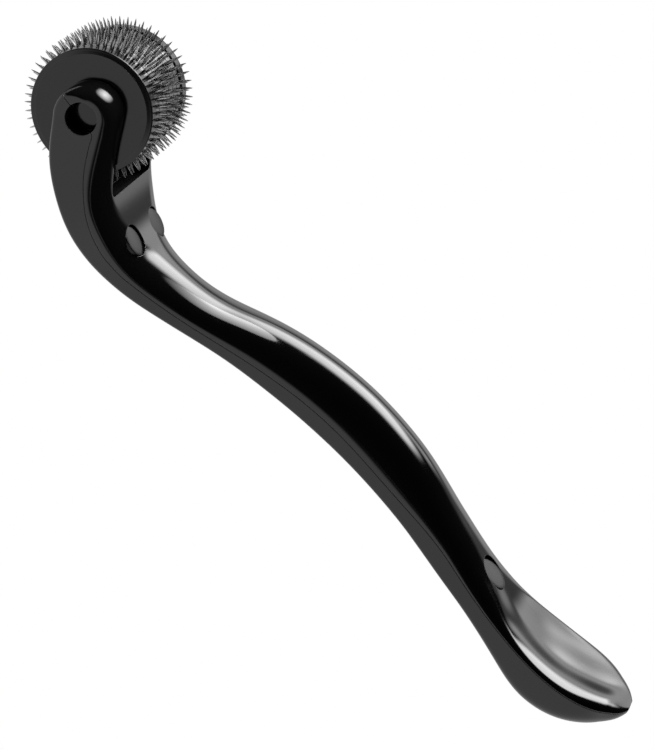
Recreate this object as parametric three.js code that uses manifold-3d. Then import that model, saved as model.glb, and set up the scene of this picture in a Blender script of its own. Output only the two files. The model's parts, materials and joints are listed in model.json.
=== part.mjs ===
// Hand-held needle roller: an S-curved two-part handle whose fork carries a
// free-running drum. The drum stacks eight needle discs between spacer rings and
// two flanged end caps. Millimetres, +Z up. The handle lies on its convex back,
// +X runs from the drum to the tail, +Y is the drum axis, +Z is the glossy front.
// Everything is modelled untilted with the axle at the origin. The side plane is
// [u, w]: u along +X and w along +Z before the tilt.
import * as THREE from 'three';
import { mergeVertices } from 'three/addons/utils/BufferGeometryUtils.js';
import Module from 'manifold-3d';

const wasm = await Module();
wasm.setup();

// ---- drum dimensions ----
const DRUM_HALF = 8.55;        // half width over the end faces
const STACK_GAP = 0.02;        // play between stacked pieces

const DISC_PITCH = 1.77;
// How far each disc is turned about the axle, in degrees; one entry per disc.
const DISC_PHASES = [1.8, 6.4, 2.2, 5.4, 6.0, 2.2, 0.4, 0.1];
const DISC_T = 0.25;
const NEEDLES = 54;            // points per disc
const NEEDLE_TIP_R = 11.85;
const NEEDLE_HALF = 0.17;      // half width of a needle at the rim
const DISC_RIM_R = 9.68;       // valley radius between needles

const CORE_R = 6.0;
const SPACER_R = 9.78;
const SPACER_BORE_R = CORE_R + 0.05;
const DISC_BORE_R = SPACER_BORE_R + 0.25; // at the corners; the flats clear the core
const DISC_BORE_SIDES = 12;

const FLANGE_R = 10.0;
const FLANGE_FACE_R = 9.15;    // flat part of the end face
const FLANGE_T = 2.14;
// Middle point of the flange's rounded edge, then where that edge ends.
const FLANGE_EDGE = { midInset: 0.15, midDepth: 0.16, depth: 0.35 };
const CAP_INNER = DRUM_HALF - FLANGE_T;
const STUB_R = 2.35;
const STUB_END = 10.4;         // stub journal end, from the drum middle
const STUB_CHAMFER = 0.25;

// ---- handle dimensions ----
const ARM_OUT = 13.05;         // outer face of each arm, from the middle plane
const SLOT_HALF = 9.05;        // inner face of each arm
const SLOT_R = 14.0;           // throat of the fork, about the axle
const HOLE_R = 2.6;            // bearing hole in each arm
const SEAM_GAP = 0.1;          // parting gap between front and back shells
const WALL = 1.7;              // moulded wall thickness over the cavities
const CAVITY_SPANS = [[26, 91], [106, 122]]; // u ranges of the stations used
const REST_TILT_DEG = 6.31;    // turns the handle so that it lies on its back
const CUT_HALF_WIDTH = 20;     // cutters reach this far each side of the middle
const CUT_REACH = 30;          // and this far above and below the axle

// Side-plane stations along the handle: u, w, half width, crown height, back
// depth, flat side wall above the spine, lateral radius of the crown's edge,
// radius of the back edge.
const STATIONS = [
  [0, 0, ARM_OUT, 5.9, 4.8, 1.6, 4.6, 0.7],
  [1.6, -1.55, ARM_OUT, 5.4, 4.95, 1.15, 4.5, 0.7],
  [3.2, -3.15, ARM_OUT, 4.85, 5.2, 0.95, 4.35, 0.7],
  [4.8, -4.75, ARM_OUT, 4.45, 5.3, 0.75, 4.2, 0.7],
  [6.4, -6.3, ARM_OUT, 4.3, 5.02, 0.6, 4.1, 0.7],
  [8.2, -7.95, ARM_OUT, 4.05, 4.52, 0.6, 4.1, 0.7],
  [10.1, -9.4, 13.0, 3.8, 4.0, 0.6, 4.35, 0.7],
  [12.1, -10.6, 12.85, 3.75, 3.72, 0.6, 4.8, 0.7],
  [14.2, -11.6, 12.35, 3.7, 3.5, 0.55, 5.4, 0.7],
  [16.4, -12.45, 11.5, 3.65, 3.3, 0.45, 6.3, 0.7],
  [18.8, -13.2, 10.5, 3.75, 3.05, 0.4, 7.3, 0.7],
  [21.4, -13.68, 9.4, 3.72, 2.7, 0.4, 7.6, 0.7],
  [24.2, -13.76, 8.45, 3.7, 2.52, 0.45, 7.6, 0.7],
  [27.2, -13.38, 7.65, 3.68, 2.36, 0.5, 7.2, 0.6],
  [30.4, -12.72, 7.05, 3.6, 2.16, 0.5, 6.85, 0.6],
  [34, -11.73, 6.7, 3.58, 1.95, 0.5, 6.6, 0.6],
  [38, -10.28, 6.65, 3.78, 1.85, 0.55, 6.6, 0.6],
  [42, -8.69, 6.7, 4.38, 1.95, 0.6, 6.65, 0.6],
  [46, -7.11, 6.9, 4.88, 2.2, 0.65, 6.85, 0.6],
  [50, -5.66, 7.1, 5.15, 2.5, 0.65, 7.05, 0.6],
  [55, -4.16, 7.23, 5.3, 2.75, 0.65, 7.2, 0.6],
  [60, -3.1, 7.3, 5.48, 2.83, 0.65, 7.25, 0.6],
  [65, -2.45, 7.3, 5.64, 2.73, 0.65, 7.25, 0.6],
  [70, -2.15, 7.3, 5.66, 2.52, 0.65, 7.25, 0.6],
  [75, -2.02, 7.2, 5.48, 2.42, 0.6, 7.15, 0.6],
  [79, -1.93, 7.04, 4.92, 2.53, 0.55, 7.0, 0.6],
  [82.5, -1.8, 6.9, 4.15, 2.78, 0.5, 6.8, 0.6],
  [86, -1.8, 6.77, 3.38, 3.1, 0.4, 6.6, 0.6],
  [89.5, -2.02, 6.66, 3.08, 3.2, 0.35, 6.4, 0.6],
  [93, -2.42, 6.79, 2.9, 3, 0.28, 6, 0.6],
  [96.5, -2.63, 7.23, 2.45, 2.8, 0.22, 5.4, 0.7],
  [100, -2.63, 7.8, 1.9, 2.93, 0.16, 4.4, 0.8],
  [103.5, -2.42, 8.51, 1.4, 3.38, 0.12, 3.6, 1],
  [107, -2.06, 9.25, 1.12, 4.08, 0.1, 3.1, 1.2],
  [110.5, -1.55, 9.92, 1, 5.05, 0.1, 2.8, 1.5],
  [113.8, -0.92, 10.3, 0.98, 5.5, 0.1, 2.6, 1.8],
  [116.8, -0.2, 10.32, 0.98, 5.35, 0.1, 2.5, 2.1],
  [119.5, 0.63, 10.05, 0.98, 4.85, 0.1, 2.5, 2.3],
  [121.8, 1.39, 9.33, 0.96, 4.1, 0.1, 2.5, 2.4],
  [123.7, 2.05, 8.25, 0.9, 3.4, 0.1, 2.5, 2.3],
  [125.2, 2.55, 6.94, 0.8, 2.72, 0.1, 2.4, 2],
  [126.4, 2.95, 5.3, 0.66, 2.05, 0.08, 2.1, 1.6],
  [127.2, 3.22, 3.61, 0.48, 1.4, 0.06, 1.6, 1.1],
  [127.8, 3.42, 1.91, 0.3, 0.8, 0.05, 1, 0.6],
];

// Rounded arm tips, beyond the axle.
const ARM_DIR = [0.703, -0.711]; // side-plane direction from the axle into the arm
const TIP = {
  steps: [5.3, 5.0, 4.4, 3.5, 2.4, 1.2], // station distances from the tip centre
  shift: 0.8,        // tip centre, in front of the axle
  radius: 5.45,      // side outline radius
  front: 5.1,        // reach on the crowned side
  narrowing: 2.6,    // scale of the elliptical narrowing of the outer face
  narrowStart: 2.3,  // distance at which the narrowing starts
  narrowLength: 3.4, // length of that ellipse
  crownRise: 4.3,    // crown above the flat side wall
  crownEdge: 4.6,
  backEdge: 0.7,
};

// Limits that keep a section valid when it is small or inset.
const SECTION = {
  minHalfWidth: 0.6, minHeight: 0.35, minCrownEdge: 0.4, minWall: 0.05,
  wallShare: 0.6,    // most of the crown height the flat wall may take
  edgeShare: 0.8,    // most of the depth or half width the back edge may take
  crownEdgeInset: 0.5, // share of an inset taken off the crown edge radius
};

// Parting line between the shells, as [u, w].
const SEAM = [
  [-9, 0.3], [-4.6, 0.15], [0, 0], [2.8, -0.2], [4.08, -1.92], [5.73, -4.23],
  [7.4, -6.2], [9.2, -7.85], [12.1, -10.1], [14.3, -11.4], [16.6, -12.5], [19.5, -13.42],
  [23, -13.78], [26, -13.58], [30, -12.84], [34, -11.73], [38, -10.28], [42, -8.69],
  [46, -7.11], [50, -5.66], [55, -4.16], [60, -3.1], [65, -2.45], [70, -2.15],
  [75, -2.02], [79, -1.93], [82.5, -1.8], [86, -1.8], [89.5, -2.02], [93, -2.5],
  [96.5, -2.85], [100, -2.88], [103.5, -2.65], [107, -2.27], [110.5, -1.74],
  [113.8, -1.08], [116.8, -0.3], [119.5, 0.58], [121.8, 1.38], [123.7, 2.05],
  [126.4, 2.95], [132, 4.7],
];

// ---- fastener dimensions ----
// Sites: side-plane u, lateral y, well radius, plug recess and height, screw
// head height, depth the screw reaches behind the spine.
const NECK_SITE = { u: 19.0, well: 2.6, recess: 0.35, plug: 0.9, head: 1.2, bite: 2.1 };
const NECK_SITE_Y = 5.2;
const SITES = [
  { ...NECK_SITE, name: 'neck_left', y: -NECK_SITE_Y },
  { ...NECK_SITE, name: 'neck_right', y: NECK_SITE_Y },
  { name: 'tail', u: 97.2, y: 0, well: 3.0, recess: 0.2, plug: 0.55, head: 0.75, bite: 1.8 },
];
const SEAT_GAP = 0.05;         // under the screw head and between head and plug
const WELL_TOP = 12;           // well cutter end, clear of the crown
const SHANK_R = 1.1;
const BORE = { play: 0.1, below: 0.3, above: 0.5 }; // past shank, its end, well floor
const SCREW = {
  headPlay: 0.3,               // radial play of the head in its well
  pointShare: 0.55, pointLength: 0.7,
  headEdgeInset: 0.55, headEdgeDepth: 0.35,
  socketTopR: 0.7, socketFloorR: 0.45, socketDepth: 0.5,
};
const PLUG = {
  play: 0.08,                  // radial play of a plug in its well
  lowInset: 0.1, lowRise: 0.12,
  topInset: 0.2, topEdgeDrop: 0.18, topRimDrop: 0.02,
};

// ---- facets ----
const CROWN_FACETS = 6;        // in each crown edge
const BACK_FACETS = 3;         // in each back edge
const SEGMENTS = {
  slot: 64, hole: 32, well: 28, bore: 20, screw: 20, plug: 28, core: 36, cap: 48, spacer: 40,
};

// ---- geometry helpers ----
const vectors = (points) => points.map(([x, y]) => new THREE.Vector2(x, y));
const mirrored = (points) => points.map(([across, along]) => [-across, along]);
const reversed = (points) => points.slice().reverse();

function indexedGeometry(positions, indices) {
  const geometry = new THREE.BufferGeometry();
  geometry.setAttribute('position', new THREE.BufferAttribute(new Float32Array(positions), 3));
  geometry.setIndex(indices);
  return geometry;
}
function solidFrom(geometry) {
  const bare = geometry.clone();
  bare.deleteAttribute('normal');
  bare.deleteAttribute('uv');
  const merged = mergeVertices(bare, 1e-4);
  return new wasm.Manifold(new wasm.Mesh({
    numProp: 3,
    vertProperties: new Float32Array(merged.attributes.position.array),
    triVerts: new Uint32Array(merged.index.array),
  }));
}
function geometryFrom(solid) {
  const mesh = solid.getMesh();
  const geometry = indexedGeometry(mesh.vertProperties, Array.from(mesh.triVerts));
  geometry.computeVertexNormals();
  return geometry;
}
function cylinder(radius, y0, y1, segments) {
  const geometry = new THREE.CylinderGeometry(radius, radius, y1 - y0, segments, 1);
  geometry.translate(0, (y0 + y1) / 2, 0);
  return geometry;
}
// Surface of revolution about +Y from a [radius, y] profile.
function lathe(profile, segments) {
  return new THREE.LatheGeometry(vectors(profile), segments);
}
// A side-plane shape extruded along Y to both sides of the middle plane.
function prism(shape, halfWidth) {
  const geometry = new THREE.ExtrudeGeometry(shape, {
    depth: 2 * halfWidth, bevelEnabled: false, steps: 1,
  });
  geometry.translate(0, 0, -halfWidth);
  geometry.rotateX(Math.PI / 2);
  return geometry;
}
// Closed skin through rings of equal point count, capped at both ends.
function loft(rings) {
  const count = rings[0].length;
  const positions = rings.flat(2);
  const indices = [];
  for (let k = 0; k + 1 < rings.length; k++) {
    for (let i = 0; i < count; i++) {
      const here = k * count + i;
      const next = k * count + (i + 1) % count;
      indices.push(here, next, next + count, here, next + count, here + count);
    }
  }
  for (const k of [0, rings.length - 1]) {
    const centre = [0, 1, 2].map((axis) => rings[k].reduce((sum, p) => sum + p[axis] / count, 0));
    const middle = positions.length / 3;
    positions.push(...centre);
    for (let i = 0; i < count; i++) {
      const here = k * count + i;
      const next = k * count + (i + 1) % count;
      if (k === 0) indices.push(middle, next, here);
      else indices.push(middle, here, next);
    }
  }
  return indexedGeometry(positions, indices);
}

// ---- side-plane helpers ----
function direction(from, to) {
  const du = to[0] - from[0];
  const dw = to[1] - from[1];
  const length = Math.hypot(du, dw);
  return [du / length, dw / length];
}
// Direction at each point of a line, taken between its neighbours.
function directions(line) {
  return line.map((_, i) => direction(
    line[Math.max(i - 1, 0)], line[Math.min(i + 1, line.length - 1)]));
}
// Turns a direction towards the tail into the normal on the front side.
const frontNormal = ([du, dw]) => [-dw, du];

// ---- handle blank ----
function tipStation(distance) {
  const depth = TIP.radius * Math.sqrt(1 - (distance / TIP.radius) ** 2);
  const crown = depth * TIP.front / TIP.radius;
  const past = Math.max(0, distance - TIP.narrowStart) / TIP.narrowLength;
  const narrowing = TIP.narrowing * (1 - Math.sqrt(Math.max(0, 1 - past ** 2)));
  const normal = frontNormal(ARM_DIR);
  return [
    normal[0] * TIP.shift - ARM_DIR[0] * distance,
    normal[1] * TIP.shift - ARM_DIR[1] * distance,
    ARM_OUT - narrowing, crown, depth,
    Math.max(SECTION.minWall, crown - TIP.crownRise),
    TIP.crownEdge - narrowing * 0.6,
    Math.min(TIP.backEdge, crown * 0.5),
  ];
}
const spine = [...TIP.steps.map(tipStation), ...STATIONS];
const spineDirections = directions(spine);

function quarterArc(facets, pointAt) {
  return Array.from({ length: facets }, (_, i) => {
    const angle = (Math.PI / 2) * ((i + 1) / facets);
    return pointAt(Math.cos(angle), Math.sin(angle));
  });
}
// Closed ring of spine section i: flat side walls, an elliptical crown edge in
// front and a small rounded edge behind. Half outlines are [y, height].
function sectionRing(i, inset) {
  const [u, w, halfWidth, crown, depth, wall, crownEdge, backEdge] = spine[i];
  const side = Math.max(halfWidth - inset, SECTION.minHalfWidth);
  const top = Math.max(crown - inset, SECTION.minHeight);
  const bottom = Math.max(depth - inset, SECTION.minHeight);
  const wallTop = Math.min(wall, top * SECTION.wallShare);
  const edge = Math.min(
    Math.max(crownEdge - inset * SECTION.crownEdgeInset, SECTION.minCrownEdge), side);
  const backR = Math.min(backEdge, bottom * SECTION.edgeShare, side * SECTION.edgeShare);

  const front = [[side, 0], [side, wallTop], ...quarterArc(CROWN_FACETS, (cos, sin) => (
    [side - edge + edge * cos, wallTop + (top - wallTop) * sin]))];
  const back = [[side, backR - bottom], ...quarterArc(BACK_FACETS, (cos, sin) => (
    [side - backR + backR * cos, backR - bottom - backR * sin]))];
  const loop = [
    ...front, [0, top], ...mirrored(reversed(front)),
    ...mirrored(back), [0, -bottom], ...reversed(back),
  ];
  const normal = frontNormal(spineDirections[i]);
  return loop.map(([y, height]) => [u + normal[0] * height, y, w + normal[1] * height]);
}
// Hollow through every second station between two u values.
function cavity([startU, endU]) {
  const rings = [];
  for (let i = TIP.steps.length; i < spine.length; i += 2) {
    if (spine[i][0] >= startU && spine[i][0] <= endU) rings.push(sectionRing(i, WALL));
  }
  return loft(rings);
}

// ---- fasteners ----
// Heights along the well axis from the spine, and a function that moves geometry
// modelled along +Y onto that axis.
function fastenerLayout(site) {
  const k = STATIONS.findIndex(([stationU]) => stationU > site.u);
  const before = STATIONS[k - 1];
  const after = STATIONS[k];
  const share = (site.u - before[0]) / (after[0] - before[0]);
  const [u, w, halfWidth, crown, , wall, crownEdge] = before.map(
    (value, column) => value + (after[column] - value) * share);
  const intoEdge = Math.max(0, Math.abs(site.y) - (halfWidth - crownEdge)) / crownEdge;
  const surface = wall + (crown - wall) * Math.sqrt(1 - intoEdge ** 2);

  const plugTop = surface - site.recess;
  const plugLow = plugTop - site.plug;
  const headTop = plugLow - SEAT_GAP;
  const headLow = headTop - site.head;
  const [normalU, normalW] = frontNormal(direction(before, after));
  const turn = new THREE.Quaternion().setFromUnitVectors(
    new THREE.Vector3(0, 1, 0), new THREE.Vector3(normalU, 0, normalW));
  return {
    plugTop, plugLow, headTop, headLow,
    floor: headLow - SEAT_GAP,
    shankEnd: -site.bite,
    place: (geometry) => geometry.applyQuaternion(turn).translate(u, site.y, w),
  };
}
function wellCut({ well, floor }) {
  return cylinder(well, floor, WELL_TOP, SEGMENTS.well);
}
function boreCut({ shankEnd, floor }) {
  return cylinder(SHANK_R + BORE.play, shankEnd - BORE.below, floor + BORE.above, SEGMENTS.bore);
}
function screw({ well, shankEnd, headLow, headTop }) {
  const headR = well - SCREW.headPlay;
  const socketFloor = headTop - SCREW.socketDepth;
  return lathe([
    [0, shankEnd], [SHANK_R * SCREW.pointShare, shankEnd],
    [SHANK_R, shankEnd + SCREW.pointLength], [SHANK_R, headLow],
    [headR, headLow], [headR, headTop - SCREW.headEdgeDepth],
    [headR - SCREW.headEdgeInset, headTop], [SCREW.socketTopR, headTop],
    [SCREW.socketFloorR, socketFloor], [0, socketFloor],
  ], SEGMENTS.screw);
}
function plug({ well, plugLow, plugTop }) {
  const radius = well - PLUG.play;
  return lathe([
    [0, plugLow], [radius - PLUG.lowInset, plugLow], [radius, plugLow + PLUG.lowRise],
    [radius, plugTop - PLUG.topEdgeDrop],
    [radius - PLUG.topInset, plugTop - PLUG.topRimDrop], [0, plugTop],
  ], SEGMENTS.plug);
}
const fasteners = SITES.map((site) => ({ ...site, ...fastenerLayout(site) }));

// ---- shells ----
function handleBlank() {
  const cutters = [
    cylinder(SLOT_R, -SLOT_HALF, SLOT_HALF, SEGMENTS.slot),
    cylinder(HOLE_R, -CUT_HALF_WIDTH, CUT_HALF_WIDTH, SEGMENTS.hole),
    ...CAVITY_SPANS.map(cavity),
    ...fasteners.flatMap((f) => [f.place(wellCut(f)), f.place(boreCut(f))]),
  ];
  const outside = solidFrom(loft(spine.map((_, i) => sectionRing(i, 0))));
  return cutters.reduce((solid, cutter) => solid.subtract(solidFrom(cutter)), outside);
}
// Part of the blank between a seam line and a level w beyond it.
function shell(blank, line, level) {
  const outline = [...line, [SEAM.at(-1)[0], level], [SEAM[0][0], level]];
  return blank.intersect(solidFrom(prism(new THREE.Shape(vectors(outline)), CUT_HALF_WIDTH)));
}
// The seam moved back by the parting gap.
function backSeam() {
  const normals = directions(SEAM).map(frontNormal);
  return SEAM.map(([u, w], i) => [u - normals[i][0] * SEAM_GAP, w - normals[i][1] * SEAM_GAP]);
}

// ---- drum pieces ----
function needleDisc(y, phaseDeg) {
  const polar = (radius, angle) => [radius * Math.cos(angle), radius * Math.sin(angle)];
  const halfAngle = NEEDLE_HALF / DISC_RIM_R;
  const outline = [];
  for (let i = 0; i < NEEDLES; i++) {
    const angle = THREE.MathUtils.degToRad(phaseDeg) + 2 * Math.PI * i / NEEDLES;
    outline.push(
      polar(DISC_RIM_R, angle - halfAngle),
      polar(NEEDLE_TIP_R, angle),
      polar(DISC_RIM_R, angle + halfAngle),
    );
  }
  const bore = Array.from({ length: DISC_BORE_SIDES },
    (_, i) => polar(DISC_BORE_R, -2 * Math.PI * i / DISC_BORE_SIDES));
  const shape = new THREE.Shape(vectors(outline));
  shape.holes.push(new THREE.Path(vectors(bore)));
  return prism(shape, DISC_T / 2).translate(0, y, 0);
}
function spacerRing(y0, y1) {
  return lathe([
    [SPACER_BORE_R, y0], [SPACER_R, y0], [SPACER_R, y1], [SPACER_BORE_R, y1], [SPACER_BORE_R, y0],
  ], SEGMENTS.spacer);
}
function drumCore() {
  const half = CAP_INNER - STACK_GAP;
  return lathe([[0, -half], [CORE_R, -half], [CORE_R, half], [0, half]], SEGMENTS.core);
}
// Profile of the near (-Y) end cap; the far one is its mirror image.
const NEAR_CAP = [
  [0, -STUB_END], [STUB_R - STUB_CHAMFER, -STUB_END],
  [STUB_R, -STUB_END + STUB_CHAMFER], [STUB_R, -DRUM_HALF],
  [FLANGE_FACE_R, -DRUM_HALF],
  [FLANGE_R - FLANGE_EDGE.midInset, -DRUM_HALF + FLANGE_EDGE.midDepth],
  [FLANGE_R, -DRUM_HALF + FLANGE_EDGE.depth],
  [FLANGE_R, -CAP_INNER], [0, -CAP_INNER],
];
const FAR_CAP = reversed(NEAR_CAP.map(([radius, y]) => [radius, -y]));

// ---- materials ----
const black = new THREE.MeshStandardMaterial({ color: 0x121214, roughness: 0.16, metalness: 0 });
const satin = new THREE.MeshStandardMaterial({ color: 0x1c1c1e, roughness: 0.3, metalness: 0 });
const steel = new THREE.MeshStandardMaterial({ color: 0xb4b6ba, roughness: 0.3, metalness: 1 });
const grey = new THREE.MeshStandardMaterial({ color: 0x8e9094, roughness: 0.38, metalness: 0.6 });

// ---- scene graph ----
function addPiece(parent, name, geometry, material) {
  const mesh = new THREE.Mesh(geometry, material);
  mesh.name = name;
  parent.add(mesh);
}
function buildHandle() {
  const handle = new THREE.Group();
  const blank = handleBlank();
  addPiece(handle, 'front_shell', geometryFrom(shell(blank, SEAM, CUT_REACH)), black);
  addPiece(handle, 'back_shell', geometryFrom(shell(blank, backSeam(), -CUT_REACH)), satin);
  for (const f of fasteners) {
    addPiece(handle, `${f.name}_screw`, f.place(screw(f)), steel);
    addPiece(handle, `${f.name}_plug`, f.place(plug(f)), black);
  }
  return handle;
}
function buildDrum() {
  const drum = new THREE.Group();
  addPiece(drum, 'drum_core', drumCore(), black);
  addPiece(drum, 'end_cap_near', lathe(NEAR_CAP, SEGMENTS.cap), black);
  addPiece(drum, 'end_cap_far', lathe(FAR_CAP, SEGMENTS.cap), black);
  const lastIndex = DISC_PHASES.length - 1;
  const discClear = DISC_T / 2 + STACK_GAP;
  DISC_PHASES.forEach((phase, i) => {
    const y = (i - lastIndex / 2) * DISC_PITCH;
    const tag = String(i + 1).padStart(2, '0');
    addPiece(drum, `needle_disc_${tag}`, needleDisc(y, phase), steel);
    if (i < lastIndex) {
      const ring = spacerRing(y + discClear, y + DISC_PITCH - discClear);
      addPiece(drum, `spacer_ring_${tag}`, ring, grey);
    }
  });
  return drum;
}
const roller = new THREE.Group();
roller.add(buildHandle(), buildDrum());

// Lay the roller on its back and put the origin under the middle of its box.
const holder = new THREE.Group();
holder.rotation.y = THREE.MathUtils.degToRad(REST_TILT_DEG);
holder.add(roller);
const object = new THREE.Group();
object.add(holder);
object.updateMatrixWorld(true);
const box = new THREE.Box3().setFromObject(object, true);
holder.position.set(-(box.min.x + box.max.x) / 2, -(box.min.y + box.max.y) / 2, -box.min.z);
object.updateMatrixWorld(true);

export default object;
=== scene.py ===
"""A needle roller: a handle with a slotted head that carries a drum of pointed discs.

It is drawn in millimetres in the handle's own frame: u along the handle from head to
tail, y across it along the drum axle, w out of its front. The axle is at u = w = 0.
The handle lies on its back, front up and tilted by TILT; the camera is on the -y side.
"""
import bpy, bmesh, json, math
import numpy as np
from mathutils import Matrix, Vector


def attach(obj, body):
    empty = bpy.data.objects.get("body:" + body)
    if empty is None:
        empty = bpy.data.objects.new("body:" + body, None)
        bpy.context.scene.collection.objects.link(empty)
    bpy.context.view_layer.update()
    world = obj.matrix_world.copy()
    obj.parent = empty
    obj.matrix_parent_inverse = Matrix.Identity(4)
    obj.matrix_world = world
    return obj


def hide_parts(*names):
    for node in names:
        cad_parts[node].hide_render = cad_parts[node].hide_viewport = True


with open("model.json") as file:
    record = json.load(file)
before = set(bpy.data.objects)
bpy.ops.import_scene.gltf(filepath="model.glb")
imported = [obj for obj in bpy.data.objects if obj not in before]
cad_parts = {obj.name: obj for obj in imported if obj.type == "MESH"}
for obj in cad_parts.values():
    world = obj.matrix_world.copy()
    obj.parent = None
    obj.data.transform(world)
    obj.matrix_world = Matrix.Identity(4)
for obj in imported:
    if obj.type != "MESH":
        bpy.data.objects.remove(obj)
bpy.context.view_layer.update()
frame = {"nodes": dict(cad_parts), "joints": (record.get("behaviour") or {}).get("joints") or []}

MM = 0.001
TILT = math.radians(6.31)
COS_TILT, SIN_TILT = math.cos(TILT), math.sin(TILT)
AXLE = np.array([j for j in frame["joints"] if j["name"] == "drum_spin"][0]["pos_m"], float)


# ------------------------------------------------------------------ shared helpers
def turn(vectors):
    """Directions or offsets from (u, y, w) to scene axes."""
    u, y, w = np.moveaxis(np.asarray(vectors, float), -1, 0)
    return np.stack([u * COS_TILT + w * SIN_TILT, y, -u * SIN_TILT + w * COS_TILT], -1)


def place(points):
    """Points from (u, y, w) in mm to the scene in metres."""
    return turn(np.asarray(points, float).reshape(-1, 3) * MM) + AXLE


def link_object(name, data):
    obj = bpy.data.objects.new(name, data)
    bpy.context.scene.collection.objects.link(obj)
    return obj


def new_object(name, verts, faces, merge=None):
    """Mesh object from (u, y, w) points, with points closer than merge mm joined."""
    mesh = bpy.data.meshes.new(name)
    mesh.from_pydata([tuple(v) for v in place(verts)], [], faces)
    mesh.update()
    obj = link_object(name, mesh)
    bm = bmesh.new()
    bm.from_mesh(mesh)
    if merge is not None:
        bmesh.ops.remove_doubles(bm, verts=bm.verts, dist=merge * MM)
        bmesh.ops.dissolve_degenerate(bm, edges=bm.edges, dist=merge * MM * 0.5)
    bmesh.ops.recalc_face_normals(bm, faces=bm.faces)
    bm.to_mesh(mesh)
    bm.free()
    return obj


def smooth(obj, angle):
    """Smooth shading, with edges steeper than angle degrees kept sharp."""
    obj.data.shade_smooth()
    obj.data.set_sharp_from_angle(angle=math.radians(angle))


def lathe(profile, segments, closed=False):
    """Solid of revolution about the y axis from a (radius, y) outline."""
    verts, faces, rows = [], [], []
    for radius, y in profile:
        start = len(verts)
        if radius < 1e-6:
            verts.append((0, y, 0))
        else:
            for i in range(segments):
                t = 2 * math.pi * i / segments
                verts.append((radius * math.cos(t), y, radius * math.sin(t)))
        rows.append(list(range(start, len(verts))))
    pairs = list(zip(rows[:-1], rows[1:]))
    if closed:
        pairs.append((rows[-1], rows[0]))
    for a, b in pairs:
        for i in range(segments):
            j = (i + 1) % segments
            if len(a) == 1:
                faces.append((a[0], b[i], b[j]))
            elif len(b) == 1:
                faces.append((a[i], b[0], a[j]))
            else:
                faces.append((a[i], b[i], b[j], a[j]))
    return verts, faces


def lathed(name, profile, segments, merge, closed=False):
    return new_object(name, *lathe(profile, segments, closed), merge=merge)


def corner(radius, y, wide, deep, steps, first=1):
    """Quarter round from (radius, y), outward by wide and toward +y by deep."""
    angles = [math.pi / 2 * i / steps for i in range(first, steps + 1)]
    return [(radius + wide * math.sin(t), y + deep * (1 - math.cos(t))) for t in angles]


def ease(value, start, end):
    """Smooth step from 0 at start to 1 at end."""
    t = np.clip((value - start) / (end - start), 0, 1)
    return t * t * (3 - 2 * t)


def path_lengths(points):
    return np.r_[0, np.cumsum(np.hypot(*np.diff(points, axis=0).T))]


def path_directions(points):
    """Unit tangents and left-hand normals of a (u, w) path."""
    along = np.gradient(points, axis=0)
    along /= np.hypot(*along.T)[:, None]
    return along, np.stack([-along[:, 1], along[:, 0]], 1)


def smooth_curve(x, knots, values):
    """Cubic curve through the rows of values at knots, without overshoot."""
    gaps = np.diff(knots)[:, None]
    slopes = np.diff(values, axis=0) / gaps
    before, after = slopes[:-1], slopes[1:]
    weight_1 = 2 * gaps[1:] + gaps[:-1]
    weight_2 = gaps[1:] + 2 * gaps[:-1]
    with np.errstate(divide="ignore", invalid="ignore"):
        mean = (weight_1 + weight_2) / (weight_1 / before + weight_2 / after)
    m = np.zeros_like(values)
    m[1:-1] = np.where((before * after) > 0, mean, 0)
    m[0], m[-1] = slopes[0], slopes[-1]
    i = np.clip(np.searchsorted(knots, x) - 1, 0, len(knots) - 2)
    t = ((x - knots[i]) / (knots[i + 1] - knots[i]))[:, None]
    gap = gaps[i]
    return ((2*t**3 - 3*t**2 + 1) * values[i] + (t**3 - 2*t**2 + t) * gap * m[i]
            + (-2*t**3 + 3*t**2) * values[i + 1] + (t**3 - t**2) * gap * m[i + 1])


def soften(rows, sigma, keep):
    """Gaussian mean over equally spaced rows, fading out over keep rows at both ends."""
    reach = int(4 * sigma) + 1
    kernel = np.exp(-0.5 * (np.arange(-reach, reach + 1) / sigma) ** 2)
    kernel /= kernel.sum()
    padded = np.vstack([2 * rows[0] - rows[reach:0:-1], rows,
                        2 * rows[-1] - rows[-2:-reach - 2:-1]])
    mean = np.stack([np.convolve(padded[:, c], kernel, mode="valid")
                     for c in range(rows.shape[1])], 1)
    index = np.arange(len(rows))
    fade = np.minimum(1, np.minimum(index / keep, (len(rows) - 1 - index) / keep))[:, None]
    return rows + (mean - rows) * fade


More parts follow.
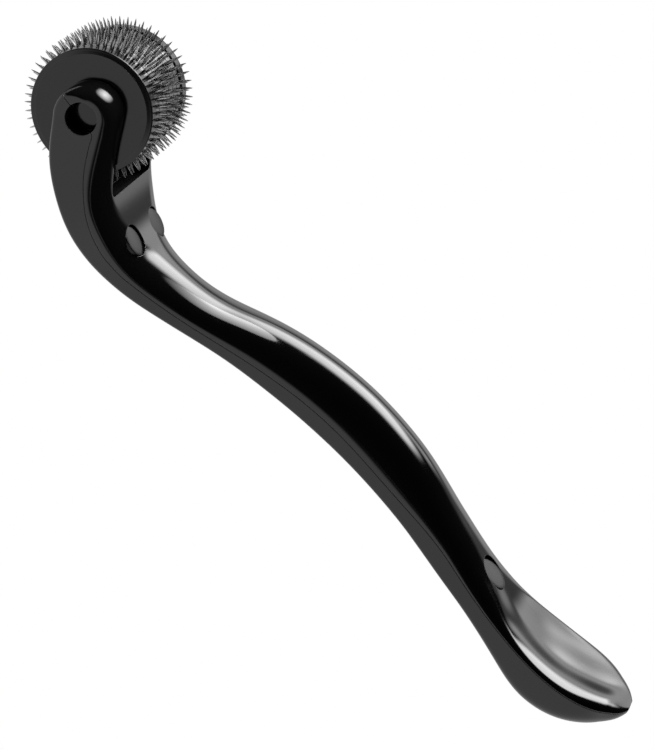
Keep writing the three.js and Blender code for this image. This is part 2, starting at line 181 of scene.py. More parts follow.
# ------------------------------------------------------------------ handle sizes
# Spine stations: u, w, half width, crown height, back depth, side wall height,
# crown edge radius, back edge radius
STATIONS = np.array([
    [0, 0, 13.05, 5.6, 4.76, 3.1, 4.5, 0.7],
    [1.6, -1.55, 13.05, 5.3, 4.95, 2.6, 4.5, 0.7],
    [3.2, -3.15, 13.05, 4.78, 5.2, 2.05, 4.4, 0.7],
    [4.8, -4.75, 13.05, 4.43, 5.3, 1.5, 4.3, 0.7],
    [6.4, -6.3, 13.05, 4.3, 5.02, 1.05, 4.3, 0.7],
    [8.2, -7.95, 13.05, 4.05, 4.52, 0.8, 4.2, 0.7],
    [10.1, -9.4, 13.0, 3.8, 4.0, 0.6, 4.35, 0.7],
    [12.1, -10.6, 12.85, 3.75, 3.72, 0.6, 4.8, 0.7],
    [14.2, -11.6, 12.35, 3.7, 3.5, 0.55, 5.4, 0.7],
    [16.4, -12.45, 11.5, 3.65, 3.3, 0.45, 6.3, 0.7],
    [18.8, -13.2, 10.5, 3.75, 3.05, 0.4, 7.3, 0.7],
    [21.4, -13.68, 9.4, 3.72, 2.7, 0.4, 7.6, 0.7],
    [24.2, -13.76, 8.45, 3.7, 2.52, 0.45, 7.6, 0.7],
    [27.2, -13.38, 7.65, 3.68, 2.36, 0.5, 7.2, 0.6],
    [30.4, -12.72, 7.05, 3.6, 2.16, 0.5, 6.85, 0.6],
    [34, -11.73, 6.7, 3.58, 1.95, 0.5, 6.6, 0.6],
    [38, -10.28, 6.65, 3.78, 1.85, 0.55, 6.6, 0.6],
    [42, -8.69, 6.7, 4.38, 1.95, 0.6, 6.65, 0.6],
    [46, -7.11, 6.9, 4.88, 2.2, 0.65, 6.85, 0.6],
    [50, -5.66, 7.1, 5.15, 2.5, 0.65, 7.05, 0.6],
    [55, -4.16, 7.23, 5.3, 2.75, 0.65, 7.2, 0.6],
    [60, -3.1, 7.3, 5.48, 2.83, 0.65, 7.25, 0.6],
    [65, -2.45, 7.3, 5.64, 2.73, 0.65, 7.25, 0.6],
    [70, -2.15, 7.3, 5.66, 2.52, 0.65, 7.25, 0.6],
    [75, -2.02, 7.2, 5.48, 2.42, 0.6, 7.15, 0.6],
    [79, -1.93, 7.04, 4.92, 2.53, 0.55, 7.0, 0.6],
    [82.5, -1.8, 6.9, 4.15, 2.78, 0.5, 6.8, 0.6],
    [86, -1.8, 6.77, 3.38, 3.1, 0.4, 6.6, 0.6],
    [89.5, -2.02, 6.66, 3.08, 3.2, 0.35, 6.4, 0.6],
    [93, -2.42, 6.79, 2.9, 3, 0.28, 6, 0.6],
    [96.5, -2.63, 7.23, 2.45, 2.8, 0.22, 5.4, 0.7],
    [100, -2.63, 7.8, 1.9, 2.93, 0.16, 4.4, 0.8],
    [103.5, -2.42, 8.51, 1, 3.38, 0.12, 2.2, 1],
    [107, -2.06, 9.25, 0.6, 4.08, 0.1, 1.3, 1.2],
    [110.5, -1.55, 9.92, 0.48, 5.05, 0.1, 0.95, 1.5],
    [113.8, -0.92, 10.3, 0.48, 5.5, 0.1, 0.9, 1.8],
    [116.8, -0.2, 10.32, 0.54, 5.35, 0.1, 1.1, 2.1],
    [119.5, 0.63, 10.05, 0.68, 4.85, 0.1, 1.5, 2.3],
    [121.8, 1.39, 9.33, 0.82, 4.1, 0.1, 2, 2.4],
    [123.7, 2.05, 8.25, 0.84, 3.4, 0.1, 2.3, 2.3],
    [125.2, 2.55, 6.94, 0.8, 2.72, 0.1, 2.4, 2],
    [126.4, 2.95, 5.3, 0.66, 2.05, 0.08, 2.1, 1.6],
    [127.2, 3.22, 3.61, 0.48, 1.4, 0.06, 1.6, 1.1],
    [127.8, 3.42, 1.91, 0.3, 0.8, 0.05, 1, 0.6]])
# Head part of the seam between the shells: u, w
SEAM_HEAD = np.array([
    [-9, 0.3], [-4.6, 0.15], [0, 0], [2.8, -0.2], [4.08, -1.92], [5.73, -4.23], [7.4, -6.2],
    [9.2, -7.85], [12.1, -10.1], [14.3, -11.4], [16.6, -12.5], [19.5, -13.42], [23, -13.78]])
SEAM_SPINE_FROM = 26.0      # u where the seam joins the spine
SEAM_STEP = 1.2             # spacing of its points there
SEAM_POINTS = 420
SEAM_GAP = 0.07
CUT_U_END, CUT_W, CUT_HALF_WIDTH = 136, 34, 20      # reach of the solids that part the shells

ARM_OUT = STATIONS[0, 2]
ARM_EDGE_R = 2.5            # front edge radius at the arm tip
TIP_R = 4.8                 # arm tip radius
TIP_SHIFT = 0.8             # section base moved toward the front at the arm tip
TIP_SHIFT_LENGTH = 7.0      # distance along the spine over which that fades
SLOT_HALF, SLOT_R, SLOT_CORNER_R = 9.05, 14.0, 1.1
HOLE_R, HOLE_HALF = 2.6, 20

STEP = 0.4
SPINE_SOFTEN = 2.0          # mm
TIP_FAN = 52
WALL_STEPS, ARC_STEPS, FLAT_STEPS = 4, 16, 14

# Round wells in the front, each with a plug: name, u, y, radius, recess, plug thickness
SITES = [("neck_left", 19.0, -5.2, 2.6, 0.16, 1.0),
         ("neck_right", 19.0, 5.2, 2.6, 0.16, 1.0),
         ("tail", 97.2, 0.0, 3.0, 0.14, 0.9)]
WELL_FLOOR_GAP, WELL_SIDE_GAP, WELL_CUT_ABOVE = 0.05, 0.06, 4
PLUG_EDGE, PLUG_DOME = 0.12, 0.04

station_lengths = path_lengths(STATIONS[:, :2])
along_spine = np.linspace(0, station_lengths[-1], int(station_lengths[-1] / STEP) + 1)
spine = soften(smooth_curve(along_spine, station_lengths, STATIONS), SPINE_SOFTEN / STEP, keep=8)
tangents, normals = path_directions(spine[:, :2])


# ------------------------------------------------------------------ handle blank
def half_section(half_width, height, wall, edge_r):
    """Half a cross section as (y, height): side wall, rounded edge, flat top, mirrored."""
    wall = min(wall, 0.97 * height)
    edge_r = min(edge_r, half_width)
    flat = half_width - edge_r
    points = [(half_width, wall * i / WALL_STEPS) for i in range(WALL_STEPS)]
    for i in range(ARC_STEPS + 1):
        t = math.pi / 2 * i / ARC_STEPS
        points.append((flat + edge_r * math.cos(t), wall + (height - wall) * math.sin(t)))
    for i in range(1, FLAT_STEPS + 1):
        points.append((flat * (1 - i / FLAT_STEPS), height))
    points = np.array(points)
    return np.vstack([points, np.c_[-points[-2::-1, 0], points[-2::-1, 1]]])


def stand(section, base, outward):
    """Stand a section on the (u, w) point base, its height along outward."""
    return np.c_[base[0] + outward[0] * section[:, 1], section[:, 0],
                 base[1] + outward[1] * section[:, 1]]


def pad_relief(section, u, half_width):
    """Tail pad: a soft ridge near its -y edge, a shallow hollow beyond, faint ripples."""
    amount = ease(u, 93, 103) * (1 - ease(u, 123.5, 127.4))
    if amount <= 0:
        return section
    y = section[:, 0]
    inset = half_width + y
    far_edge = ease(half_width - y, 0.2, 1.8)
    t = np.clip((inset - 0.05) / 3.2, 0, 1)
    ridge = 0.29 * (1 - (1 - t) ** 2) - 0.31 * ease(inset, 3.0, 9.4)
    ripple = 0.012 * np.sin(u * 0.55 + y * 0.42) + 0.009 * np.sin(u * 0.23 - y * 0.9 + 1.1)
    relief = amount * far_edge * (ridge + ripple * ease(inset, 0.3, 2.0))
    return np.c_[y, section[:, 1] + relief]


def spine_sections():
    """Front and back half sections along the whole spine."""
    fronts, backs = [], []
    for row, distance, normal in zip(spine, along_spine, normals):
        u, w, half_width, crown, depth, wall, crown_r, back_r = row
        shift = TIP_SHIFT * (1 - ease(distance, 0, TIP_SHIFT_LENGTH))
        base = (u + normal[0] * shift, w + normal[1] * shift)
        front = half_section(half_width, crown - shift, max(wall - shift, 0.04), crown_r)
        depth_here = depth + shift
        back = half_section(half_width, depth_here,
                            depth_here - min(back_r, depth * 0.8), back_r)
        fronts.append(stand(pad_relief(front, u, half_width), base, normal))
        backs.append(stand(back, base, -normal))
    return fronts, backs


def tip_sections():
    """Fan of half sections round the arm tip, from the front to the back."""
    base = spine[0, :2] + normals[0] * TIP_SHIFT
    crown_r, back_r = STATIONS[0, 6:8]
    fan = []
    for j in range(1, TIP_FAN):
        angle = math.pi * j / TIP_FAN
        degrees = math.degrees(angle)
        outward = math.cos(angle) * normals[0] - math.sin(angle) * tangents[0]
        to_back = ease(degrees, 88, 148)
        edge_r = ARM_EDGE_R + (back_r - ARM_EDGE_R) * to_back
        if degrees < 90:
            height = TIP_R + 0.5 * math.sin(angle)
        else:
            height = TIP_R + 0.78 - 0.28 * math.sin(angle)
        section = half_section(ARM_OUT, height, height - edge_r,
                               edge_r + (crown_r - ARM_EDGE_R) * (1 - to_back))
        fan.append(stand(section, base, outward))
    return fan


def handle_blank():
    """The whole handle as one closed solid, before any cuts."""
    verts, faces = [], []

    def add_rows(rows):
        indices = []
        for row in rows:
            indices.append(list(range(len(verts), len(verts) + len(row))))
            verts.extend(row.tolist())
        return indices

    def bridge(a, b):
        for i in range(len(a) - 1):
            faces.append((a[i], a[i + 1], b[i + 1], b[i]))

    front_sections, back_sections = spine_sections()
    fronts = add_rows(front_sections)
    backs = add_rows(back_sections)
    fan = add_rows(tip_sections())
    for k in range(len(fronts) - 1):
        bridge(fronts[k], fronts[k + 1])
        bridge(backs[k + 1], backs[k])
    chain = [fronts[0]] + fan + [backs[0]]
    for a, b in zip(chain[:-1], chain[1:]):
        bridge(b, a)
    # close the tail end
    loop = fronts[-1] + backs[-1][-2:0:-1]
    centre = len(verts)
    verts.append(np.mean([verts[i] for i in loop], axis=0).tolist())
    for i in range(len(loop)):
        faces.append((centre, loop[i], loop[(i + 1) % len(loop)]))
    return new_object("handle_blank", verts, faces, merge=0.002)


# ------------------------------------------------------------------ handle cuts and shells
def spine_index(u):
    return int(np.searchsorted(spine[:, 0], u))


def site_frame(u, y):
    """Spine point, normal, and height of the front surface above the spine at (u, y)."""
    k = spine_index(u)
    f = (u - spine[k - 1, 0]) / (spine[k, 0] - spine[k - 1, 0])
    row = spine[k - 1] + (spine[k] - spine[k - 1]) * f
    normal = normals[k - 1] + (normals[k] - normals[k - 1]) * f
    normal /= np.hypot(*normal)
    half_width, crown, _, wall, crown_r = row[2:7]
    over = max(0, abs(y) - (half_width - crown_r)) / crown_r
    return row[:2], normal, wall + (crown - wall) * math.sqrt(1 - over * over)


def site_lathe(name, u, y, profile):
    """Lathed piece standing on the spine at (u, y), its axis along the normal."""
    origin, normal, _ = site_frame(u, y)
    along = np.array([normal[1], -normal[0]])
    verts, faces = lathe(profile, 96)
    verts = np.asarray(verts, float)
    verts = np.c_[origin[0] + along[0] * verts[:, 0] + normal[0] * verts[:, 1],
                  y + verts[:, 2],
                  origin[1] + along[1] * verts[:, 0] + normal[1] * verts[:, 1]]
    return new_object(name, verts, faces, merge=0.001)


def slot_cutter():
    """Cylinder with rounded rims that clears the drum's space in the head."""
    flat_r = SLOT_R - SLOT_CORNER_R
    profile = [(0, -SLOT_HALF), (flat_r, -SLOT_HALF)]
    profile += corner(flat_r, -SLOT_HALF, SLOT_CORNER_R, SLOT_CORNER_R, steps=12)
    profile += [(r, -y) for r, y in profile[::-1]]
    return lathed("slot_cut", profile, 256, merge=0.001)


def hole_cutter():
    profile = [(0, -HOLE_HALF), (HOLE_R, -HOLE_HALF), (HOLE_R, HOLE_HALF), (0, HOLE_HALF)]
    return lathed("hole_cut", profile, 96, merge=0.001)


def well_cutter(name, u, y, radius, recess, thickness):
    surface = site_frame(u, y)[2]
    low = surface - recess - thickness - WELL_FLOOR_GAP
    high = surface + WELL_CUT_ABOVE
    return site_lathe("well_" + name, u, y, [(0, low), (radius, low), (radius, high), (0, high)])


def prism(name, outline):
    """Solid with a (u, w) outline, reaching across the handle."""
    n = len(outline)
    verts = [(u, y, w) for y in (-CUT_HALF_WIDTH, CUT_HALF_WIDTH) for u, w in outline]
    faces = [tuple(range(n)), tuple(range(2 * n - 1, n - 1, -1))]
    faces += [(i, i + n, (i + 1) % n + n, (i + 1) % n) for i in range(n)]
    return new_object(name, verts, faces, merge=0.0001)


def seam_solids():
    """Solids in front of and behind the seam, with the gap between them."""
    on_spine = spine[spine_index(SEAM_SPINE_FROM)::max(1, int(SEAM_STEP / STEP)), :2]
    line = np.vstack([SEAM_HEAD, on_spine, spine[-1:, :2] + tangents[-1] * 4])
    lengths = path_lengths(line)
    seam = smooth_curve(np.linspace(0, lengths[-1], SEAM_POINTS), lengths, line)
    offset = path_directions(seam)[1] * SEAM_GAP * 0.5
    u_start = SEAM_HEAD[0, 0]
    above = prism("above", [*(seam + offset), (CUT_U_END, CUT_W), (u_start, CUT_W)])
    below = prism("below", [*(seam - offset)[::-1], (u_start, -CUT_W), (CUT_U_END, -CUT_W)])
    return above, below


def add_boolean(obj, other, operation):
    modifier = obj.modifiers.new("b", "BOOLEAN")
    modifier.operation = operation
    modifier.solver = "MANIFOLD"
    modifier.object = other
    return modifier


def bake(obj, name):
    """New object from obj with its modifiers applied."""
    depsgraph = bpy.context.evaluated_depsgraph_get()
    depsgraph.update()
    mesh = bpy.data.meshes.new_from_object(obj.evaluated_get(depsgraph), depsgraph=depsgraph)
    mesh.name = name
    return link_object(name, mesh)


def handle_shells():
    blank = handle_blank()
    cutters = [slot_cutter(), hole_cutter()] + [well_cutter(*site) for site in SITES]
    above, below = seam_solids()
    for cutter in cutters:
        add_boolean(blank, cutter, "DIFFERENCE")
    body = bake(blank, "handle_body")
    split = add_boolean(body, above, "INTERSECT")
    front = bake(body, "front_shell_fine")
    split.object = below
    back = bake(body, "back_shell_fine")
    for obj in [blank, body, above, below] + cutters:
        bpy.data.objects.remove(obj, do_unlink=True)
    for obj in (front, back):
        smooth(obj, 28)
    return front, back


def plug(name, u, y, radius, recess, thickness):
    """Slightly domed disc that fills a well."""
    top = site_frame(u, y)[2] - recess
    low = top - thickness
    rim = radius - WELL_SIDE_GAP
    inner, shoulder = rim - PLUG_EDGE, top - PLUG_EDGE
    profile = [(0, low), (inner, low), (rim, low + PLUG_EDGE), (rim, shoulder)]
    for i in range(1, 7):
        t = math.pi / 2 * i / 6
        profile.append((inner + PLUG_EDGE * math.cos(t), shoulder + PLUG_EDGE * math.sin(t)))
    for q in (0.75, 0.5, 0.25, 0):
        profile.append((rim * q, top + PLUG_DOME * (1 - q * q)))
    obj = site_lathe(name + "_plug_fine", u, y, profile)
    smooth(obj, 35)
    return obj


front_shell, back_shell = handle_shells()
plugs = [plug(*site) for site in SITES]

# ------------------------------------------------------------------ drum
DISCS, PITCH, DISC_T = 8, 1.77, 0.25
FIRST_DISC_Y = -(DISCS - 1) / 2 * PITCH
PHASES = [1.8, 6.4, 2.2, 5.4, 6.0, 2.2, 0.4, 0.1]   # degrees each disc is turned
BARREL_R = 9.78
BLADES, BLADE_TIP_R = 54, 11.848
# Blade stations: radius, half width, half thickness
BLADE = [(9.6, 0.20, 0.12), (10.2, 0.195, 0.118), (10.8, 0.17, 0.11), (11.3, 0.125, 0.09),
         (11.6, 0.078, 0.06), (11.78, 0.034, 0.032)]
# Blade cross section, as shares of the half width and half thickness
BLADE_SECTION = [(1, 0.35), (0.35, 1), (-0.35, 1), (-1, 0.35),
                 (-1, -0.35), (-0.35, -1), (0.35, -1), (1, -0.35)]
BLADE_TURN_SPREAD, BLADE_LEAN_SPREAD = 0.004, 0.012     # radians, mm
SPACER_GAP, SPACER_EDGE, SPACER_LINES = 0.02, 0.04, 3
STUB_END_Y, STUB_FLAT_R, STUB_EDGE = -10.4, 1.95, 0.4
CAP_FACE_Y, CAP_INNER_Y, CAP_R = -8.55, -6.41, 10.0


def cap_profile():
    """Stub journal, flat face, short chamfer, rolled corner and a plain rim."""
    profile = [(0, STUB_END_Y), (STUB_FLAT_R, STUB_END_Y)]
    profile += corner(STUB_FLAT_R, STUB_END_Y, STUB_EDGE, STUB_EDGE, steps=6)
    profile += [(2.35, -8.75), (2.38, -8.66), (2.5, -8.58)]
    profile += [(r, CAP_FACE_Y) for r in (2.65, 3.6, 5.0, 6.5, 8.0, 9.05)]
    profile += corner(9.13, CAP_FACE_Y, 0.05, 0.02, steps=4, first=0)
    profile += [(9.5, -8.47), (9.8, -8.405)]
    profile += corner(9.8, -8.405, 0.2, 0.2, steps=8)
    profile += [(CAP_R, y) for y in (-7.9, -7.2, CAP_INNER_Y - 0.06)]
    return profile + [(CAP_R - 0.06, CAP_INNER_Y), (0, CAP_INNER_Y)]


def end_cap(name, side):
    """End cap on the -y side for side = 1, mirrored for side = -1."""
    profile = [(r, side * y) for r, y in cap_profile()]
    obj = lathed(name, profile, 192, merge=0.0005)
    smooth(obj, 32)
    return obj


def spacer(index):
    """Barrel ring between two discs, with fine turned lines round its rim."""
    disc_y = FIRST_DISC_Y + index * PITCH
    y0 = disc_y + DISC_T / 2 + SPACER_GAP
    y1 = disc_y + PITCH - DISC_T / 2 - SPACER_GAP
    profile = [(6.05, y0), (BARREL_R - 0.05, y0), (BARREL_R, y0 + SPACER_EDGE)]
    for i in range(1, SPACER_LINES + 1):
        y = y0 + (y1 - y0) * i / (SPACER_LINES + 1)
        profile += [(BARREL_R, y - 0.035), (BARREL_R - 0.03, y), (BARREL_R, y + 0.035)]
    profile += [(BARREL_R, y1 - SPACER_EDGE), (BARREL_R - 0.05, y1), (6.05, y1)]
    obj = lathed("spacer_ring_%02d_fine" % (index + 1), profile, 160,
                 merge=0.0005, closed=True)
    smooth(obj, 40)
    return obj


def needle_disc(index, rng):
    """A thin ring with pointed blades that taper in width and thickness."""
    disc_y = FIRST_DISC_Y + index * PITCH
    y0, y1 = disc_y - DISC_T / 2, disc_y + DISC_T / 2
    ring = [(6.1, y0), (BARREL_R - 0.02, y0), (BARREL_R + 0.01, y0 + 0.03),
            (BARREL_R + 0.01, y1 - 0.03), (BARREL_R - 0.02, y1), (6.1, y1)]
    verts, faces = lathe(ring, BLADES * 4, closed=True)
    sides = len(BLADE_SECTION)
    for k in range(BLADES):
        angle = math.radians(PHASES[index]) + 2 * math.pi * k / BLADES
        angle += rng.normal(0, BLADE_TURN_SPREAD)
        lean = rng.normal(0, BLADE_LEAN_SPREAD)
        ca, sa = math.cos(angle), math.sin(angle)
        rows = []
        for r, half_width, half_thick in BLADE:
            rows.append(list(range(len(verts), len(verts) + sides)))
            for across, through in BLADE_SECTION:
                x = half_width * across
                y = half_thick * through + lean * (r - BLADE[0][0]) / 2
                verts.append((r * ca - x * sa, disc_y + y, r * sa + x * ca))
        for a, b in zip(rows[:-1], rows[1:]):
            for i in range(sides):
                j = (i + 1) % sides
                faces.append((a[i], a[j], b[j], b[i]))
        tip = len(verts)
        verts.append((BLADE_TIP_R * ca, disc_y + lean, BLADE_TIP_R * sa))
        for i in range(sides):
            faces.append((rows[-1][i], rows[-1][(i + 1) % sides], tip))
        faces.append(tuple(rows[0][::-1]))
    obj = new_object("needle_disc_%02d_fine" % (index + 1), verts, faces)
    smooth(obj, 38)
    return obj


caps = [end_cap("end_cap_near_fine", 1), end_cap("end_cap_far_fine", -1)]
spacers = [spacer(i) for i in range(DISCS - 1)]
blade_rng = np.random.default_rng(7)
discs = [needle_disc(i, blade_rng) for i in range(DISCS)]


# ------------------------------------------------------------------ node helpers
def set_inputs(tree, node, inputs):
    """Link each input given as a socket, and set the others as values."""
    for key, value in inputs.items():
        if isinstance(value, bpy.types.NodeSocket):
            tree.links.new(value, node.inputs[key])
        else:
            node.inputs[key].default_value = value


def add_node(tree, kind, inputs={}, **settings):
    node = tree.nodes.new(kind)
    for key, value in settings.items():
        setattr(node, key, value)
    set_inputs(tree, node, inputs)
    return node


def coords(tree, output="Object"):
    return add_node(tree, "ShaderNodeTexCoord").outputs[output]


def noise(tree, vector, scale, detail, roughness=0.55):
    return add_node(tree, "ShaderNodeTexNoise", {
        "Vector": vector, "Scale": scale, "Detail": detail,
        "Roughness": roughness}).outputs["Fac"]


def remap(tree, value, span, to):
    """Smooth step from to[0] at span[0] to to[1] at span[1]."""
    return add_node(tree, "ShaderNodeMapRange", {
        "Value": value, "From Min": span[0], "From Max": span[1],
        "To Min": to[0], "To Max": to[1]}, interpolation_type="SMOOTHSTEP").outputs["Result"]


def calc(tree, operation, *terms):
    return add_node(tree, "ShaderNodeMath", dict(enumerate(terms)),
                    operation=operation).outputs[0]


def dot(tree, a, b):
    return add_node(tree, "ShaderNodeVectorMath", {0: a, 1: b},
                    operation="DOT_PRODUCT").outputs["Value"]


def mix(tree, fac, color1, color2, blend="MIX"):
    return add_node(tree, "ShaderNodeMixRGB", {"Fac": fac, "Color1": color1, "Color2": color2},
                    blend_type=blend).outputs[0]


def bump(tree, height, distance, strength=1.0, **normal):
    """Bump of distance mm; pass Normal= to add to an earlier one."""
    return add_node(tree, "ShaderNodeBump", {
        "Height": height, "Distance": distance * MM, "Strength": strength,
        **normal}).outputs[0]


def grey(level, blue=None):
    return (level, level, level if blue is None else blue, 1)


def roll_angle(tree, ray, sign=1):
    """Degrees of a ray round the handle's length: 0 toward +y, 90 out of the front."""
    out_of_front = dot(tree, ray, tuple(sign * turn((0, 0, 1))))
    across = dot(tree, ray, tuple(sign * turn((0, 1, 0))))
    return calc(tree, "MULTIPLY", calc(tree, "ARCTAN2", out_of_front, across), 180 / math.pi)


# ------------------------------------------------------------------ materials
def new_material(name):
    material = bpy.data.materials.new(name)
    material.use_nodes = True
    return material, material.node_tree


def plastic(name, base, rough, spread, bevel, peel, worn, ior=1.5):
    """Black moulding: tone and gloss drift, hairline rubs, worn and softened edges.

    spread is the gloss drift, bevel the edge radius and peel the surface ripple in mm,
    worn the roughness added at edges.
    """
    material, tree = new_material(name)
    position = coords(tree)
    drift = noise(tree, position, scale=60, detail=3)
    stretched = add_node(tree, "ShaderNodeMapping",
                         {"Vector": position, "Scale": (0.12, 1.0, 1.0)}).outputs[0]
    rubs = noise(tree, stretched, scale=900, detail=2, roughness=0.5)
    rounded = add_node(tree, "ShaderNodeBevel", {"Radius": bevel * MM}, samples=4).outputs[0]
    flat = add_node(tree, "ShaderNodeNewGeometry").outputs["Normal"]
    edge = remap(tree, dot(tree, rounded, flat), span=(0.9, 0.995), to=(1.0, 0.0))

    gloss_drift = remap(tree, drift, span=(0.3, 0.7), to=(rough - spread, rough + spread))
    rub_rough = remap(tree, rubs, span=(0.62, 0.74), to=(0.0, 0.05))
    roughness = calc(tree, "ADD", calc(tree, "ADD", gloss_drift, rub_rough),
                     calc(tree, "MULTIPLY", edge, worn))
    tone = mix(tree, drift, grey(base * 0.8, base * 0.84), grey(base * 1.25))
    color = mix(tree, calc(tree, "MULTIPLY", edge, 0.6), tone, grey(base + 0.05, base + 0.052))
    ripple = noise(tree, position, scale=320, detail=2, roughness=0.4)
    set_inputs(tree, tree.nodes["Principled BSDF"], {
        "IOR": ior, "Roughness": roughness, "Base Color": color,
        "Normal": bump(tree, ripple, peel, Normal=rounded)})
    return material


def metal(name, tone, rough, lines=None, rise=None):
    """Metal with fine grain and small tone changes.

    lines is the (period, depth) in mm of turned lines round the axle; rise the radii in
    mm between which painted shade at the blade roots fades to the plain tone at the points.
    """
    material, tree = new_material(name)
    position = coords(tree)
    grain = noise(tree, position, scale=1500, detail=3)
    patches = noise(tree, position, scale=220, detail=2)
    color = mix(tree, patches, grey(tone * 0.82, tone * 0.84), grey(tone * 1.12))
    if rise:
        split = add_node(tree, "ShaderNodeSeparateXYZ", {0: position}).outputs
        dx = calc(tree, "SUBTRACT", split["X"], float(AXLE[0]))
        dz = calc(tree, "SUBTRACT", split["Z"], float(AXLE[2]))
        radius = calc(tree, "SQRT", calc(tree, "ADD", calc(tree, "MULTIPLY", dx, dx),
                                         calc(tree, "MULTIPLY", dz, dz)))
        # painted shade: the tone darkens toward the roots of the blades, next to the barrel
        level = remap(tree, radius, span=(rise[0] * MM, rise[1] * MM), to=(0.3, 1.0))
        color = mix(tree, 1.0, color, level, blend="MULTIPLY")
    normal = bump(tree, grain, distance=0.004, strength=0.6)
    if lines:
        period, depth = lines
        split = add_node(tree, "ShaderNodeSeparateXYZ", {0: position}).outputs
        wave = calc(tree, "SINE", calc(tree, "MULTIPLY", split["Y"],
                                       2 * math.pi / (period * MM)))
        normal = bump(tree, wave, depth, Normal=normal)
    set_inputs(tree, tree.nodes["Principled BSDF"], {
        "Metallic": 1.0, "Base Color": color, "Normal": normal,
        "Roughness": remap(tree, grain, span=(0.3, 0.7), to=(rough - 0.05, rough + 0.08))})
    return material


def assign(obj, material):
    obj.data.materials.clear()
    obj.data.materials.append(material)
    for polygon in obj.data.polygons:
        polygon.material_index = 0


gloss_black = plastic("gloss_black", base=0.0035, rough=0.088, spread=0.015, bevel=0.16,
                      peel=0.0010, worn=0.08)
back_black = plastic("back_black", base=0.006, rough=0.19, spread=0.03, bevel=0.18,
                     peel=0.0014, worn=0.10)
plug_black = plastic("plug_black", base=0.006, rough=0.15, spread=0.03, bevel=0.08,
                     peel=0.0016, worn=0.08, ior=1.31)
cap_black = plastic("cap_black", base=0.005, rough=0.12, spread=0.02, bevel=0.06,
                    peel=0.0006, worn=0.06, ior=1.45)
# needle blades get painted shade at their roots, between the radii given as rise
needle_steel = metal("needle_steel", tone=0.42, rough=0.26, rise=(9.8, 10.8))
barrel_metal = metal("barrel_metal", tone=0.29, rough=0.13, lines=(0.3, 0.0015))
screw_steel = metal("screw_steel", tone=0.5, rough=0.3)

# Each fine piece replaces the CAD piece of the same name without "_fine"
for pieces, material, body_name, slot_name in (
        ([front_shell], gloss_black, "handle", "shell_gloss"),
        ([back_shell], back_black, "handle", "shell_satin"),
        (plugs, plug_black, "handle", "shell_gloss"),
        (caps, cap_black, "drum", "drum_black"),
        (spacers, barrel_metal, "drum", "spacer_metal"),
        (discs, needle_steel, "drum", "needle_steel")):
    for piece in pieces:
        assign(piece, material)
        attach(piece, body_name)
        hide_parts(piece.name.removesuffix("_fine"))

# CAD pieces that stay as they are
for name, material in (("drum_core", cap_black), ("neck_left_screw", screw_steel),
                       ("neck_right_screw", screw_steel), ("tail_screw", screw_steel)):
    piece = frame["nodes"][name]
    if not piece.material_slots:
        piece.data.materials.append(material)
    for material_slot in piece.material_slots:
        material_slot.material = material


# ------------------------------------------------------------------ floor
def floor_material():
    """White to the camera; to other rays dim at the near side and toward the far side."""
    material, tree = new_material("floor_pale")
    tree.nodes.clear()
    incoming = add_node(tree, "ShaderNodeNewGeometry").outputs["Incoming"]
    roll = roll_angle(tree, incoming, sign=-1)
    near_fade = remap(tree, roll, span=(-176, -160), to=(0.02, 1.0))
    far_fade = remap(tree, roll, span=(-70, -14), to=(1.0, 0.55))
    specks = remap(tree, noise(tree, coords(tree), scale=30, detail=3),
                   span=(0.2, 0.8), to=(0.985, 1.0))
    tone = calc(tree, "MULTIPLY", calc(tree, "MULTIPLY", near_fade, far_fade), specks)
    camera_ray = add_node(tree, "ShaderNodeLightPath").outputs["Is Camera Ray"]
    emission = add_node(tree, "ShaderNodeEmission", {
        "Color": (1, 1, 1, 1), "Strength": calc(tree, "MAXIMUM", tone, camera_ray)})
    add_node(tree, "ShaderNodeOutputMaterial", {0: emission.outputs[0]})
    return material


floor_mesh = bpy.data.meshes.new("floor")
bm = bmesh.new()
bmesh.ops.create_grid(bm, x_segments=2, y_segments=2, size=6.0)
bm.to_mesh(floor_mesh)
bm.free()
floor = link_object("floor", floor_mesh)
floor.location = (0, 0, -0.0002)
assign(floor, floor_material())

# ------------------------------------------------------------------ world and lamps
BOX_LIGHT, SHELF_LIGHT, GLOW_LIGHT, DUSK_LIGHT, BASE_LIGHT = 8.5, 1.7, 0.575, 0.22, 0.012


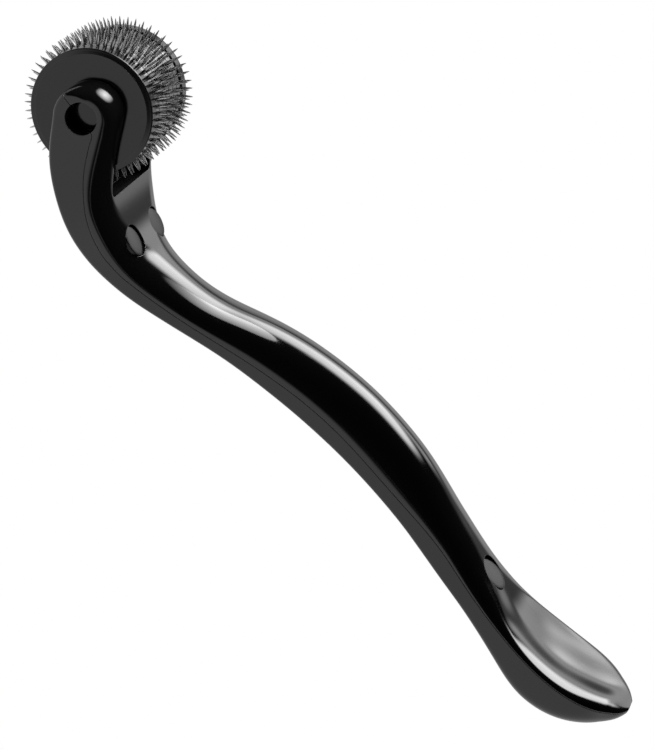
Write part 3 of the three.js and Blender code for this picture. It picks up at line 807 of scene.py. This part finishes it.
def studio_world():
    """Lights placed by roll angle and by along, the ray's share toward the tail."""
    world = bpy.data.worlds.new("studio")
    bpy.context.scene.world = world
    world.use_nodes = True
    tree = world.node_tree
    tree.nodes.clear()
    ray = coords(tree, "Generated")
    along = dot(tree, ray, tuple(turn((1, 0, 0))))
    roll = roll_angle(tree, ray)

    def band(rise, fall):
        return calc(tree, "MULTIPLY", remap(tree, roll, rise, (0, 1)),
                    remap(tree, roll, fall, (1, 0)))

    # one long soft box whose tail edge leans
    lean = remap(tree, roll, span=(26, 42), to=(-0.02, 0.10))
    past_edge = calc(tree, "SUBTRACT", along, lean)
    box_span = calc(tree, "MULTIPLY", remap(tree, along, span=(-0.62, -0.40), to=(0, 1)),
                    remap(tree, past_edge, span=(0.0, 0.14), to=(1, 0)))
    # the box, a shelf below it, then a glow and a fainter dusk near the far horizon
    parts = [
        (band(rise=(25, 33), fall=(44, 56)), box_span, BOX_LIGHT),
        (band(rise=(18, 23), fall=(27, 33)),
         remap(tree, along, span=(0.20, 0.30), to=(1, 0)), SHELF_LIGHT),
        (band(rise=(-40, -12), fall=(11, 17)),
         remap(tree, along, span=(0.38, 0.72), to=(1, 0.1)), GLOW_LIGHT),
        (band(rise=(-40, -12), fall=(20, 30)),
         remap(tree, along, span=(0.30, 0.6), to=(1, 0)), DUSK_LIGHT)]
    lights = [calc(tree, "MULTIPLY", calc(tree, "MULTIPLY", around, span), strength)
              for around, span, strength in parts]
    total = lights[0]
    for light in lights[1:] + [BASE_LIGHT]:
        total = calc(tree, "ADD", total, light)
    background = add_node(tree, "ShaderNodeBackground",
                          {"Strength": total, "Color": (1, 1, 1, 1)})
    add_node(tree, "ShaderNodeOutputWorld", {0: background.outputs[0]})


def lamp(name, at, toward, size, watts, spread):
    """Elliptical area lamp; places and size in mm, spread in degrees."""
    light = bpy.data.lights.new(name, "AREA")
    light.shape = "ELLIPSE"
    light.size = size[0] * MM
    light.size_y = size[1] * MM
    light.energy = watts
    light.spread = math.radians(spread)
    obj = link_object(name, light)
    start, target = place([at, toward])
    obj.location = start
    obj.rotation_euler = Vector(target - start).to_track_quat("-Z", "Y").to_euler()
    obj.visible_camera = False


studio_world()
lamp("head_lamp", at=(-6.2, -6.8, 24.5), toward=(-0.7, -11.3, 4.9), size=(38, 30),
     watts=0.0048, spread=58)
lamp("neck_lamp", at=(10, 18.5, 32), toward=(32, -3, 5), size=(26, 30),
     watts=0.0019, spread=60)

scene = bpy.context.scene
scene.view_settings.view_transform = "Standard"
scene.view_settings.look = "None"

# ------------------------------------------------------------------ camera
# The camera's right, down and forward directions, each as (u, y, w)
VIEW = np.array([[0.62929919, 0.26751721, 0.72966915],
                 [0.77140637, -0.32908047, -0.54464508],
                 [0.09441793, 0.90561614, -0.41345455]])
AXLE_IN_VIEW = np.array([-34.2081, -43.4881, 457.7430])     # mm right, down, forward

eye = place(-AXLE_IN_VIEW @ VIEW)[0]
right, down, forward = turn(VIEW)
camera_data = bpy.data.cameras.new("camera")
camera = link_object("camera", camera_data)
pose = np.eye(4)
pose[:3] = np.c_[right, -down, -forward, eye]
camera.matrix_world = Matrix(pose.tolist())
camera_data.sensor_fit = "AUTO"
camera_data.sensor_width = 36
camera_data.lens = 139.80576
camera_data.clip_start = 0.01
camera_data.clip_end = 50
scene.camera = camera
